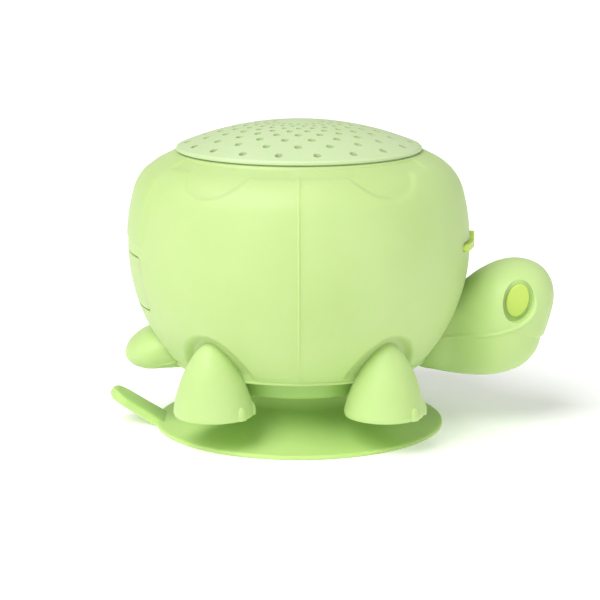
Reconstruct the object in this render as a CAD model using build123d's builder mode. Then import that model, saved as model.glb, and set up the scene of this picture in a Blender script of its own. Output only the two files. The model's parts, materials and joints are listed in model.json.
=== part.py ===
from build123d import *

import os
from math import cos, hypot, radians, sin, tan

# Turtle-shaped shower speaker on a suction cup. Millimetres, +Z up, +X towards the head.
# The origin is the centre of the suction cup's flat rim, on the surface that it sticks to.

os.makedirs("parts", exist_ok=True)

# ---------------------------------------------------------------- driving dimensions
# Body outline: three arcs that meet smoothly, then a straight slope up to the grille.
WAIST_R = 42.7  # widest radius
WAIST_Z = 46.5  # height of the widest point, and the split between the housings
FLANK_R = 44.0  # arc below the waist
FLANK_SWEEP = 44.0
SHOULDER_R = 52.0  # arc above the waist
SHOULDER_SWEEP = 15.0
CROWN_R = 12.2  # tight arc above the shoulder
CROWN_SWEEP = 48.4
SKIN_BOTTOM = 17.0
SKIN_TOP = 69.7
SKIN_WALL = 2.2
HOUSING_WALL = 2.0
LIP_R = 27.0  # opening in the skin's underside
MOUTH_R = 30.0  # opening in the skin's top, under the grille's rim

# Legs, head and tail
FOOT_X, FOOT_Y = 20.6, 27.0
FOOT_Z, FOOT_R = 8.6, 9.3
KNEE_Z, KNEE_R, KNEE_OUT = 27.5, 3.6, 2.6
HEAD_SECTIONS = (  # x, height of the middle, half width, half height
    (31.0, 25.5, 8.0, 10.0),
    (38.0, 25.2, 8.6, 11.2),
    (45.0, 26.0, 11.0, 13.2),
    (51.0, 27.6, 12.8, 14.6),
    (56.0, 28.8, 12.8, 13.8),
    (60.5, 30.6, 10.4, 10.2),
    (63.2, 32.2, 6.6, 6.2),
    (64.4, 33.0, 2.4, 2.2),
)
EYE_X, EYE_SURFACE_Y, EYE_Z = 54.6, 11.7, 33.4
EYE_TILT, EYE_YAW = 15.0, 11.0  # top leaning forwards, facing a little forwards
EYE_HALF_W, EYE_HALF_H, EYE_DEPTH = 4.0, 5.3, 2.4
EYE_LEDGE, EYE_ROOT, EYE_PROUD = 1.1, 0.8, 0.6  # ledge round the insert, its root and its height
TAIL_TIP, TAIL_SHOULDER, TAIL_HALF_W = 43.9, 36.0, 11.5
TAIL_LOW, TAIL_HIGH = 15.6, 25.0
PEG_INNER_X = 28.8  # the pegs' flanges lie inside the housing's wall from here
HEAD_PEG = (3.5, 5.0, 26.5)  # radius, flange radius, height
TAIL_PEG = (1.6, 2.3, 23.4)

# Suction cup and its pull tab
CUP_R, CUP_EDGE = 36.4, 1.0
CUP_NECK_R, CUP_NECK_LOW, CUP_NECK_TOP = 15.0, 7.5, 12.0
STUD_R, STUD_HEAD_R, STUD_TOP = 6.4, 9.2, 18.4
TAB_ROOT_X, TAB_ROOT_Z, TAB_RISE = 37.0, 1.2, 32.0
TAB_LENGTH, TAB_WIDTH, TAB_THICK = 12.6, 10.0, 1.9

# Base plate under the housing
BASE_R, BASE_LOW, BASE_TOP = 25.8, 12.2, 19.0
BASE_SCREW_X, BASE_SCREW_Y = 8.0, 21.0

# Housing inside the skin
HOUSING_BOTTOM, HOUSING_DECK = 19.0, 67.5
NECK_R, BORE_R, NECK_TOP = 29.9, 28.75, 70.1
SHELF_LOW, SHELF_TOP, SHELF_R = 59.4, 61.4, 24.0
BOSS_R, BOSS_CIRCLE = 3.2, 26.8

# Grille
GRILLE_R, GRILLE_EDGE_TOP, GRILLE_APEX, GRILLE_WALL = 30.5, 71.0, 77.0, 1.4
HOLES_PER_RING, HOLE_TURN = 19, -81.0
HOLE_RINGS = (  # ring radius, hole radius
    (27.6, 0.95),
    (23.3, 0.95),
    (19.4, 0.95),
    (16.0, 0.90),
    (13.1, 0.80),
    (10.5, 0.70),
    (8.2, 0.60),
    (6.1, 0.50),
)

# Driver, from the top down
FLANGE_R, FLANGE_TOP = 28.4, 62.6
ROLL_R, ROLL_WIDTH, CONE_R = 22.2, 1.5, 20.5
COIL_R, COIL_Z = 10.4, 55.6
PLATE_TOP, MAGNET_TOP, YOKE_TOP, YOKE_BOTTOM = 50.0, 47.2, 41.4, 39.0
DRIVER_SCREW_R, DRIVER_SCREW_TURN = 26.7, 22.5

# Electronics
BOARD_Z, BOARD_THICK, BOARD_R = 33.0, 1.6, 33.6
BATTERY = (50.0, 30.0, 9.6)
BATTERY_Z = 22.2
PORT_Z, PORT_HALF_H, PORT_HALF_W = 39.0, 6.8, 17.9
TRAY_HALF_W, TRAY_HALF_H = 18.6, 7.1
SLIT, HINGE_SLIT = 0.5, 0.1  # gap round the flap, and along its hinged edge
HINGE_WALL, HINGE_STRIP = 1.0, 3.0  # the flap is thinner over this width at its hinge
USB_Z = 36.3
SWITCH_Y, SWITCH_Z = -11.0, 36.6
WIRE_R = 0.55
KEY_Z, KEY_PITCH, KEY_PROUD = 47.4, 10.3, 1.2
KEY_WINDOW_HALF, KEY_WINDOW_HALF_H = 16.2, 4.6
PAD_W, PAD_H = 9.5, 7.4
BUTTON_BOARD_X, TACT_DEPTH, KEY_STEM_X = 31.4, 2.0, 35.8
PILLAR_X, PILLAR_Y = 12.0, 25.5


def on_arc(center, radius, angle):
    """The point of an arc at an angle in degrees from the horizontal."""
    return (center[0] + radius * cos(radians(angle)), center[1] + radius * sin(radians(angle)))


def body_solid(inset, low, high):
    """The round body with its outline moved inwards by inset, cut level at low and high."""
    flank = (WAIST_R - FLANK_R, WAIST_Z)
    shoulder = (WAIST_R - SHOULDER_R, WAIST_Z)
    crown = on_arc(shoulder, SHOULDER_R - CROWN_R, SHOULDER_SWEEP)
    crown_end = SHOULDER_SWEEP + CROWN_SWEEP
    start = on_arc(flank, FLANK_R - inset, -FLANK_SWEEP)
    end = on_arc(crown, CROWN_R - inset, crown_end)
    peak = end[1] + end[0] / tan(radians(crown_end))
    with BuildPart() as solid:
        with BuildSketch(Plane.XZ):
            with BuildLine():
                CenterArc(flank, FLANK_R - inset, -FLANK_SWEEP, FLANK_SWEEP)
                CenterArc(shoulder, SHOULDER_R - inset, 0, SHOULDER_SWEEP)
                CenterArc(crown, CROWN_R - inset, SHOULDER_SWEEP, CROWN_SWEEP)
                Polyline(end, (0, peak), (0, start[1]), start)
            make_face()
        revolve(axis=Axis.Z)
        split(bisect_by=Plane.XY.offset(low), keep=Keep.TOP)
        split(bisect_by=Plane.XY.offset(high), keep=Keep.BOTTOM)
    return solid.part


def bend_path(points):
    """A wire's route: straight runs joined by arcs as large as each pair of runs allows."""
    radii = []
    for before, here, after in zip(points, points[1:], points[2:]):
        run_in = Vector(here) - Vector(before)
        run_out = Vector(after) - Vector(here)
        half_turn = radians(run_in.get_angle(run_out) / 2)
        radii.append(0.45 * min(run_in.length, run_out.length) / tan(half_turn))
    print("bend radii", [round(radius, 1) for radius in radii])
    return FilletPolyline(*points, radius=radii)


def save(piece, label):
    """Label a finished piece and write it to its own STEP file."""
    piece.part.label = label
    export_step(piece.part, f"parts/{label}.step")


# ---------------------------------------------------------------- shared body shapes
skin_shape = body_solid(0, SKIN_BOTTOM, SKIN_TOP)
housing_shape = body_solid(SKIN_WALL, HOUSING_BOTTOM, HOUSING_DECK)
cavity_shape = body_solid(SKIN_WALL + HOUSING_WALL, HOUSING_BOTTOM + 2, HOUSING_DECK - 2.1)
proud_shape = body_solid(-KEY_PROUD, SKIN_BOTTOM, SKIN_TOP)
pad_outer = body_solid(SKIN_WALL + 0.25, 30, 60)
pad_inner = body_solid(SKIN_WALL + 1.25, 30, 60)
sleeve_shape = body_solid(SKIN_WALL, HOUSING_BOTTOM, SKIN_TOP + 3)
shelf_limit = body_solid(SKIN_WALL + 1.0, SHELF_LOW, SHELF_TOP)
diagonal = BOSS_CIRCLE / 2**0.5

# ---------------------------------------------------------------- key symbols
with BuildSketch() as minus_symbol:
    SlotOverall(8.6, 1.6)
with BuildSketch() as plus_symbol:
    SlotOverall(7.2, 1.6)
    SlotOverall(7.2, 1.6, rotation=90)
with BuildSketch() as play_symbol:
    RegularPolygon(2.75, 3)
    fillet(play_symbol.vertices(), 0.5)
with BuildSketch() as key_pad:
    RectangleRounded(PAD_W, PAD_H, 1.2)
with BuildSketch() as key_stem:
    Circle(1.6)
KEYS = (("minus", -KEY_PITCH, minus_symbol), ("play", 0.0, play_symbol), ("plus", KEY_PITCH, plus_symbol))


# ---------------------------------------------------------------- silicone skin with its legs
def leg_solid(side_x, side_y):
    """One tapered leg that leans outwards as it rises into the body's flank."""
    lean = 1 + KNEE_OUT / hypot(FOOT_X, FOOT_Y)
    with BuildPart() as leg:
        with BuildSketch(Plane.XY.offset(FOOT_Z)):
            with Locations((side_x * FOOT_X, side_y * FOOT_Y)):
                Circle(FOOT_R)
        with BuildSketch(Plane.XY.offset(KNEE_Z)):
            with Locations((side_x * FOOT_X * lean, side_y * FOOT_Y * lean)):
                Circle(KNEE_R)
        loft()
        fillet(leg.faces().sort_by(Axis.Z)[0].edges(), 1.2)
    return leg.part


with BuildPart() as body_skin:
    add(skin_shape)
    fillet(body_skin.faces().sort_by(Axis.Z)[0].edges(), 2.0)
    for side_x in (-1, 1):
        for side_y in (-1, 1):
            add(leg_solid(side_x, side_y))
    add(sleeve_shape, mode=Mode.SUBTRACT)
    with BuildSketch(Plane.XY.offset(SKIN_BOTTOM)):
        Circle(LIP_R)
    extrude(amount=HOUSING_BOTTOM - SKIN_BOTTOM, mode=Mode.SUBTRACT)
    with BuildSketch(Plane.XY.offset(BASE_LOW - 0.6)):
        Circle(BASE_R + 0.5)
    extrude(amount=SKIN_BOTTOM - BASE_LOW + 0.6, mode=Mode.SUBTRACT)
    with BuildSketch(Plane.XY.offset(HOUSING_DECK - 1)):
        Circle(MOUTH_R)
    extrude(amount=5, mode=Mode.SUBTRACT)
    # windows for the key symbols and the port flap, and holes for the pegs of head and tail
    for name, key_y, symbol in KEYS:
        with BuildSketch(Plane.YZ.offset(30)):
            with Locations((key_y, KEY_Z)):
                add(offset(symbol.sketch, amount=0.25, mode=Mode.PRIVATE))
        extrude(amount=20, mode=Mode.SUBTRACT)
    with BuildSketch(Plane.YZ.offset(-50)):
        with Locations((0, PORT_Z)):
            Rectangle(2 * PORT_HALF_W, 2 * PORT_HALF_H)
    extrude(amount=25, mode=Mode.SUBTRACT)
    for start, (peg_r, flange_r, height) in ((20, HEAD_PEG), (-50, TAIL_PEG)):
        with BuildSketch(Plane.YZ.offset(start)):
            with Locations((0, height)):
                Circle(peg_r)
        extrude(amount=30, mode=Mode.SUBTRACT)
save(body_skin, "body_skin")


# ---------------------------------------------------------------- head, eyes and tail
def peg(side, size):
    """A moulded peg through the skin and the housing, with a flange inside that holds it."""
    peg_r, flange_r, height = size
    with BuildPart() as mushroom:
        with BuildSketch(Plane.YZ.offset(side * PEG_INNER_X)):
            with Locations((0, height)):
                Circle(peg_r)
        extrude(amount=side * 10)
        with BuildSketch(Plane.YZ.offset(side * (PEG_INNER_X - 1.5))):
            with Locations((0, height)):
                Circle(flange_r)
        extrude(amount=side * 1.5)
    return mushroom.part


def eye_plane(side):
    """The plane over one eye's socket, facing sideways and a little forwards."""
    yaw = radians(EYE_YAW)
    return Plane(
        origin=(EYE_X, side * EYE_SURFACE_Y, EYE_Z),
        x_dir=(-side * cos(yaw), sin(yaw), 0),
        z_dir=(sin(yaw), side * cos(yaw), 0),
    )


with BuildPart() as head:
    for x, middle, half_w, half_h in HEAD_SECTIONS:
        with BuildSketch(Plane.YZ.offset(x)):
            with Locations((0, middle)):
                Ellipse(half_w, half_h)
    loft()
    add(skin_shape, mode=Mode.SUBTRACT)
    for side in (-1, 1):
        with BuildSketch(eye_plane(side).offset(-EYE_DEPTH)):
            Ellipse(EYE_HALF_W, EYE_HALF_H, rotation=side * EYE_TILT)
        extrude(amount=EYE_DEPTH + 5, mode=Mode.SUBTRACT)
        with BuildSketch(eye_plane(side).offset(-EYE_DEPTH - EYE_ROOT)):
            Ellipse(EYE_HALF_W - EYE_LEDGE, EYE_HALF_H - EYE_LEDGE, rotation=side * EYE_TILT)
        extrude(amount=EYE_ROOT + 0.5, mode=Mode.SUBTRACT)
    add(peg(1, HEAD_PEG))
save(head, "head")

for side, label in ((1, "eye_left"), (-1, "eye_right")):
    with BuildPart() as eye:
        with BuildSketch(eye_plane(side).offset(-EYE_DEPTH - EYE_ROOT)):
            Ellipse(EYE_HALF_W - EYE_LEDGE, EYE_HALF_H - EYE_LEDGE, rotation=side * EYE_TILT)
        extrude(amount=EYE_ROOT + EYE_PROUD)
        fillet(eye.faces().sort_by(Axis.Y)[-1 if side > 0 else 0].edges(), 0.3)
    save(eye, label)

with BuildPart() as tail:
    with BuildSketch(Plane.XY.offset(TAIL_LOW)):
        with BuildLine():
            Polyline(
                (-TAIL_SHOULDER, TAIL_HALF_W), (-28, TAIL_HALF_W),
                (-28, -TAIL_HALF_W), (-TAIL_SHOULDER, -TAIL_HALF_W),
            )
            ThreePointArc((-TAIL_SHOULDER, -TAIL_HALF_W), (-TAIL_TIP, 0), (-TAIL_SHOULDER, TAIL_HALF_W))
        make_face()
    extrude(amount=TAIL_HIGH - TAIL_LOW)
    level = tail.faces().filter_by(Axis.Z).edges()
    fillet(level.filter_by(lambda edge: edge.center().X < -29), 3.0)
    add(skin_shape, mode=Mode.SUBTRACT)
    add(peg(-1, TAIL_PEG))
save(tail, "tail")

# ---------------------------------------------------------------- suction cup and pull tab
with BuildPart() as suction_cup:
    with BuildSketch(Plane.XZ):
        with BuildLine():
            Polyline((CUP_R - 2.4, 0), (CUP_R, 0), (CUP_R, CUP_EDGE))
            Spline(
                (CUP_R, CUP_EDGE), (26.0, 2.9), (CUP_NECK_R, CUP_NECK_LOW),
                tangents=((-1, 0.05), (-0.6, 0.8)),
            )
            Polyline(
                (CUP_NECK_R, CUP_NECK_LOW), (CUP_NECK_R, CUP_NECK_TOP), (STUD_R, CUP_NECK_TOP),
                (STUD_R, STUD_TOP - 1.8), (STUD_HEAD_R, STUD_TOP - 1.8),
                (STUD_HEAD_R - 1.2, STUD_TOP), (0, STUD_TOP), (0, 4.2),
            )
            Spline((0, 4.2), (16.0, 3.0), (CUP_R - 2.4, 0), tangents=((1, 0), (1, -0.3)))
        make_face()
    revolve(axis=Axis.Z)
save(suction_cup, "suction_cup")

tab_plane = Plane(
    origin=(-TAB_ROOT_X, 0, TAB_ROOT_Z),
    x_dir=(-cos(radians(TAB_RISE)), 0, sin(radians(TAB_RISE))),
    z_dir=(sin(radians(TAB_RISE)), 0, cos(radians(TAB_RISE))),
)
with BuildPart() as pull_tab:
    with BuildSketch(tab_plane):
        with BuildLine():
            Polyline(
                (TAB_LENGTH - 5, -TAB_WIDTH / 2), (0, -TAB_WIDTH / 2),
                (0, TAB_WIDTH / 2), (TAB_LENGTH - 5, TAB_WIDTH / 2),
            )
            ThreePointArc(
                (TAB_LENGTH - 5, TAB_WIDTH / 2), (TAB_LENGTH, 0), (TAB_LENGTH - 5, -TAB_WIDTH / 2)
            )
        make_face()
    extrude(amount=TAB_THICK)
    fillet(pull_tab.faces().sort_by(Axis.Z)[-1].edges().filter_by(GeomType.CIRCLE), 0.5)
save(pull_tab, "pull_tab")

# ---------------------------------------------------------------- base plate
with BuildPart() as base_plate:
    with BuildSketch(Plane.XZ):
        with BuildLine():
            Polyline(
                (STUD_R + 0.2, BASE_LOW), (BASE_R - 1.0, BASE_LOW), (BASE_R - 0.4, BASE_LOW + 0.6),
                (BASE_R - 0.4, 15.7), (BASE_R - 1.0, 15.9), (BASE_R - 1.0, 16.2), (BASE_R, 16.4),
                (BASE_R, BASE_TOP), (STUD_HEAD_R + 0.3, BASE_TOP), (STUD_HEAD_R + 0.3, STUD_TOP - 2.1),
                (STUD_R + 0.2, STUD_TOP - 2.1), close=True,
            )
        make_face()
    revolve(axis=Axis.Z)
    for hole_r, depth in ((1.35, BASE_TOP - BASE_LOW), (2.5, 2.4)):
        with BuildSketch(Plane.XY.offset(BASE_LOW)):
            with GridLocations(2 * BASE_SCREW_X, 2 * BASE_SCREW_Y, 2, 2):
                Circle(hole_r)
        extrude(amount=depth, mode=Mode.SUBTRACT)
save(base_plate, "base_plate")


def screws(label, places, shaft_r, head_r, head_h, length, up=1):
    """Equal cross-head screws as separate solids; up is 1 where the point is above the head."""
    grip = (Align.CENTER, Align.CENTER, Align.MIN if up > 0 else Align.MAX)
    with BuildPart() as group:
        with Locations(*places):
            Cylinder(head_r, head_h, align=grip)
            Box(head_r * 1.3, head_r * 0.3, head_h / 2, align=grip, mode=Mode.SUBTRACT)
            Box(head_r * 0.3, head_r * 1.3, head_h / 2, align=grip, mode=Mode.SUBTRACT)
        with Locations(*[(x, y, z + up * head_h) for x, y, z in places]):
            Cylinder(shaft_r, length, align=grip)
    save(group, label)


def corners(x, y, z):
    """The four places at plus and minus x and y, at height z."""
    return [(side_x * x, side_y * y, z) for side_x in (-1, 1) for side_y in (-1, 1)]


screws("base_screws", corners(BASE_SCREW_X, BASE_SCREW_Y, BASE_LOW + 0.8), 1.25, 2.3, 1.6, 8.0)

# ---------------------------------------------------------------- housing
with BuildPart() as lower_housing:
    add(housing_shape)
    split(bisect_by=Plane.XY.offset(WAIST_Z), keep=Keep.BOTTOM)
    add(cavity_shape, mode=Mode.SUBTRACT)
    with BuildSketch(Plane.XY.offset(HOUSING_BOTTOM)):
        with GridLocations(2 * diagonal, 2 * diagonal, 2, 2):
            Circle(BOSS_R)
    extrude(amount=WAIST_Z - HOUSING_BOTTOM)
    with BuildSketch(Plane.XY.offset(HOUSING_BOTTOM)):
        with GridLocations(2 * BASE_SCREW_X, 2 * BASE_SCREW_Y, 2, 2):
            Circle(2.8)
    extrude(amount=7.0)
    with BuildSketch(Plane.XY.offset(HOUSING_BOTTOM)):
        with GridLocations(2 * BASE_SCREW_X, 2 * BASE_SCREW_Y, 2, 2):
            Circle(1.3)
    extrude(amount=5.0, mode=Mode.SUBTRACT)
    with BuildSketch(Plane.XY.offset(HOUSING_BOTTOM)):
        with GridLocations(2 * diagonal, 2 * diagonal, 2, 2):
            Circle(1.35)
    extrude(amount=WAIST_Z - HOUSING_BOTTOM, mode=Mode.SUBTRACT)
    with BuildSketch(Plane.XY.offset(HOUSING_BOTTOM)):
        with GridLocations(2 * diagonal, 2 * diagonal, 2, 2):
            Circle(2.5)
    extrude(amount=2.2, mode=Mode.SUBTRACT)
    # pillars that carry the main board, and ribs that back the button board
    with BuildSketch(Plane.XY.offset(HOUSING_BOTTOM + 1)):
        with GridLocations(2 * PILLAR_X, 2 * PILLAR_Y, 2, 2):
            Circle(2.2)
    extrude(amount=BOARD_Z - HOUSING_BOTTOM - 1)
    with BuildSketch(Plane.XY.offset(BOARD_Z)):
        with GridLocations(2 * PILLAR_X, 2 * PILLAR_Y, 2, 2):
            Circle(0.95)
    extrude(amount=-6, mode=Mode.SUBTRACT)
    for rib_y in (-14.6, 14.6):
        with Locations((BUTTON_BOARD_X + BOARD_THICK, rib_y, 38.0)):
            Box(3.6, 1.4, 6.4, align=(Align.MIN, Align.CENTER, Align.MIN))
    # windows for the port tray, the keys and the two pegs
    with BuildSketch(Plane.YZ.offset(-50)):
        with Locations((0, PORT_Z)):
            Rectangle(2 * TRAY_HALF_W, 2 * TRAY_HALF_H)
    extrude(amount=22, mode=Mode.SUBTRACT)
    with BuildSketch(Plane.YZ.offset(30)):
        with Locations((0, KEY_Z)):
            Rectangle(2 * KEY_WINDOW_HALF, 2 * KEY_WINDOW_HALF_H)
    extrude(amount=22, mode=Mode.SUBTRACT)
    for start, (peg_r, flange_r, height) in ((20, HEAD_PEG), (-50, TAIL_PEG)):
        with BuildSketch(Plane.YZ.offset(start)):
            with Locations((0, height)):
                Circle(peg_r)
        extrude(amount=30, mode=Mode.SUBTRACT)
save(lower_housing, "lower_housing")

with BuildPart() as shelf_ring:
    add(shelf_limit)
    with BuildSketch(Plane.XY.offset(SHELF_LOW)):
        Circle(SHELF_R)
    extrude(amount=SHELF_TOP - SHELF_LOW, mode=Mode.SUBTRACT)

with BuildPart() as upper_housing:
    add(housing_shape)
    split(bisect_by=Plane.XY.offset(WAIST_Z), keep=Keep.TOP)
    with BuildSketch(Plane.XY.offset(HOUSING_DECK - 3)):
        Circle(NECK_R)
    extrude(amount=NECK_TOP - HOUSING_DECK + 3)
    add(cavity_shape, mode=Mode.SUBTRACT)
    with BuildSketch(Plane.XY.offset(SHELF_TOP)):
        Circle(BORE_R)
    extrude(amount=12, mode=Mode.SUBTRACT)
    add(shelf_ring.part)
    with BuildSketch(Plane.XY.offset(WAIST_Z)):
        with GridLocations(2 * diagonal, 2 * diagonal, 2, 2):
            Circle(BOSS_R)
    extrude(amount=SHELF_LOW - WAIST_Z + 1)
    with BuildSketch(Plane.XY.offset(WAIST_Z)):
        with GridLocations(2 * diagonal, 2 * diagonal, 2, 2):
            Circle(1.25)
    extrude(amount=11, mode=Mode.SUBTRACT)
    with BuildSketch(Plane.XY.offset(SHELF_LOW - 5)):
        with PolarLocations(DRIVER_SCREW_R, 4, start_angle=DRIVER_SCREW_TURN):
            Circle(2.3)
    extrude(amount=5.5)
    with BuildSketch(Plane.XY.offset(SHELF_TOP)):
        with PolarLocations(DRIVER_SCREW_R, 4, start_angle=DRIVER_SCREW_TURN):
            Circle(0.95)
    extrude(amount=-6, mode=Mode.SUBTRACT)
    with BuildSketch(Plane.YZ.offset(30)):
        with Locations((0, KEY_Z)):
            Rectangle(2 * KEY_WINDOW_HALF, 2 * KEY_WINDOW_HALF_H)
    extrude(amount=22, mode=Mode.SUBTRACT)
save(upper_housing, "upper_housing")

screws("housing_screws", corners(diagonal, diagonal, HOUSING_BOTTOM + 0.3), 1.2, 2.4, 1.8, 34.0)

with BuildPart() as housing_seal:
    with BuildSketch(Plane.XZ):
        with Locations((WAIST_R - SKIN_WALL - HOUSING_WALL - 0.5, WAIST_Z)):
            Circle(0.5)
    revolve(axis=Axis.Z)
    with BuildSketch(Plane.YZ.offset(30)):
        with Locations((0, KEY_Z)):
            Rectangle(2 * KEY_WINDOW_HALF + 1, 2 * KEY_WINDOW_HALF_H)
    extrude(amount=22, mode=Mode.SUBTRACT)
save(housing_seal, "housing_seal")

# ---------------------------------------------------------------- port tray and flap at the back
with BuildPart() as port_tray:
    add(housing_shape)
    add(cavity_shape, mode=Mode.SUBTRACT)
    with BuildSketch(Plane.YZ.offset(-50)):
        with Locations((0, PORT_Z)):
            Rectangle(2 * TRAY_HALF_W, 2 * TRAY_HALF_H)
    extrude(amount=22, mode=Mode.INTERSECT)
    with BuildSketch(Plane.YZ.offset(-50)):
        with Locations((0, USB_Z)):
            RectangleRounded(9.8, 4.0, 1.9)
        with Locations((SWITCH_Y, SWITCH_Z)):
            RectangleRounded(5.6, 2.6, 0.8)
    extrude(amount=22, mode=Mode.SUBTRACT)
save(port_tray, "port_tray")

with BuildPart() as hinge_relief:
    add(body_solid(HINGE_WALL, 25, 52))
    with BuildSketch(Plane.YZ.offset(-50)):
        with Locations((-PORT_HALF_W, PORT_Z)):
            Rectangle(2 * HINGE_STRIP, 2 * PORT_HALF_H)
    extrude(amount=25, mode=Mode.INTERSECT)

with BuildPart() as port_flap:
    add(skin_shape)
    add(sleeve_shape, mode=Mode.SUBTRACT)
    with BuildSketch(Plane.YZ.offset(-50)):
        with Locations(((HINGE_SLIT - SLIT) / 2, PORT_Z)):
            RectangleRounded(2 * PORT_HALF_W - SLIT - HINGE_SLIT, 2 * (PORT_HALF_H - SLIT), 0.8)
    extrude(amount=25, mode=Mode.INTERSECT)
    add(hinge_relief.part, mode=Mode.SUBTRACT)
    with BuildSketch(Plane.YZ.offset(-40.0)):
        with Locations((0, USB_Z)):
            RectangleRounded(8.0, 2.8, 1.3)
    extrude(amount=2.6)
save(port_flap, "port_flap")

# ---------------------------------------------------------------- keys and their switches
def prism(sketch, start, key_y):
    """A key's outline at its place on the front, pushed out along +X."""
    with BuildPart() as bar:
        with BuildSketch(Plane.YZ.offset(start)):
            with Locations((key_y, KEY_Z)):
                add(sketch)
        extrude(amount=16)
    return bar.part


for name, key_y, symbol in KEYS:
    cap = prism(symbol.sketch, KEY_STEM_X, key_y) & proud_shape
    stem = prism(key_stem.sketch, KEY_STEM_X, key_y) & pad_outer
    with BuildPart() as key:
        add(prism(key_pad.sketch, KEY_STEM_X, key_y))
        add(pad_outer, mode=Mode.INTERSECT)
        add(cap)
        add(pad_inner, mode=Mode.SUBTRACT)
        add(stem)
    save(key, name + "_key")
    with BuildPart() as plunger:
        with BuildSketch(Plane.YZ.offset(KEY_STEM_X)):
            with Locations((key_y, KEY_Z)):
                Circle(0.9)
        extrude(amount=-1.4)
    save(plunger, name + "_plunger")

key_places = [(key_y, KEY_Z) for name, key_y, symbol in KEYS]
tact_front = BUTTON_BOARD_X + BOARD_THICK + TACT_DEPTH
with BuildPart() as tact_switches:
    with BuildSketch(Plane.YZ.offset(tact_front)):
        with Locations(*key_places):
            RectangleRounded(4.6, 4.6, 0.4)
    extrude(amount=-TACT_DEPTH)
    with BuildSketch(Plane.YZ.offset(tact_front)):
        with Locations(*key_places):
            Circle(1.0)
    extrude(amount=-1.7, mode=Mode.SUBTRACT)
save(tact_switches, "tact_switches")

with BuildPart() as button_board:
    with BuildSketch(Plane.YZ.offset(BUTTON_BOARD_X)):
        with Locations((0, KEY_Z + 0.6)):
            RectangleRounded(31.0, 11.0, 1.0)
    extrude(amount=BOARD_THICK)
save(button_board, "button_board")

# ---------------------------------------------------------------- grille over the driver
dome_radius = ((GRILLE_R - 0.4) ** 2 + (GRILLE_APEX - GRILLE_EDGE_TOP) ** 2) / (
    2 * (GRILLE_APEX - GRILLE_EDGE_TOP)
)
dome_middle = GRILLE_APEX - dome_radius


def dome_height(radius, drop):
    """Height of the dome's surface at a radius, drop below the outer surface."""
    return dome_middle + ((dome_radius - drop) ** 2 - radius**2) ** 0.5


with BuildPart() as speaker_grille:
    with BuildSketch(Plane.XZ):
        with BuildLine():
            RadiusArc(
                (0, GRILLE_APEX), (GRILLE_R - 0.4, GRILLE_EDGE_TOP), dome_radius,
            )
            Polyline(
                (GRILLE_R - 0.4, GRILLE_EDGE_TOP), (GRILLE_R, GRILLE_EDGE_TOP - 0.4), (GRILLE_R, NECK_TOP),
                (BORE_R - 0.5, NECK_TOP), (BORE_R - 0.5, dome_height(BORE_R - 0.5, GRILLE_WALL)),
            )
            RadiusArc(
                (BORE_R - 0.5, dome_height(BORE_R - 0.5, GRILLE_WALL)), (0, GRILLE_APEX - GRILLE_WALL),
                -(dome_radius - GRILLE_WALL),
            )
            Line((0, GRILLE_APEX - GRILLE_WALL), (0, GRILLE_APEX))
        make_face()
    revolve(axis=Axis.Z)
    # clips between the outer holes, down inside the neck of the housing
    for clip in (0, 5, 10, 14):
        angle = (clip + 0.5) * 360 / HOLES_PER_RING
        with BuildSketch(Plane.XY.offset(NECK_TOP - 3.6)):
            with PolarLocations(BORE_R - 0.9, 1, start_angle=angle):
                Rectangle(1.4, 4.0)
        extrude(amount=4.4)
    for index, (ring_r, hole_r) in enumerate(HOLE_RINGS):
        turn = (index % 2) * 180 / HOLES_PER_RING
        with BuildSketch(Plane.XY.offset(GRILLE_APEX + 1)):
            with PolarLocations(ring_r, HOLES_PER_RING, start_angle=turn + HOLE_TURN):
                Circle(hole_r)
        extrude(amount=-9, mode=Mode.SUBTRACT)
save(speaker_grille, "speaker_grille")

with BuildPart() as acoustic_mesh:
    with BuildSketch(Plane.XZ):
        with BuildLine():
            mesh_drop = GRILLE_WALL + 0.05
            RadiusArc(
                (0, GRILLE_APEX - mesh_drop), (26.5, dome_height(26.5, mesh_drop)), dome_radius - mesh_drop
            )
            Line((26.5, dome_height(26.5, mesh_drop)), (26.5, dome_height(26.5, mesh_drop + 0.3)))
            RadiusArc(
                (26.5, dome_height(26.5, mesh_drop + 0.3)), (0, GRILLE_APEX - mesh_drop - 0.3),
                -(dome_radius - mesh_drop - 0.3),
            )
            Line((0, GRILLE_APEX - mesh_drop - 0.3), (0, GRILLE_APEX - mesh_drop))
        make_face()
    revolve(axis=Axis.Z)
save(acoustic_mesh, "acoustic_mesh")


# ---------------------------------------------------------------- loudspeaker driver
def ring(label, inner, outer, low, high):
    """A plain ring or disc between two heights, as its own piece."""
    with BuildPart() as piece:
        with BuildSketch(Plane.XY.offset(low)):
            Circle(outer)
            if inner > 0:
                Circle(inner, mode=Mode.SUBTRACT)
        extrude(amount=high - low)
    save(piece, label)


def turned(label, *outline):
    """A piece turned about the vertical axis from a closed outline of (radius, height) points."""
    with BuildPart() as piece:
        with BuildSketch(Plane.XZ):
            with BuildLine():
                Polyline(*outline, close=True)
            make_face()
        revolve(axis=Axis.Z)
    save(piece, label)


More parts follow.
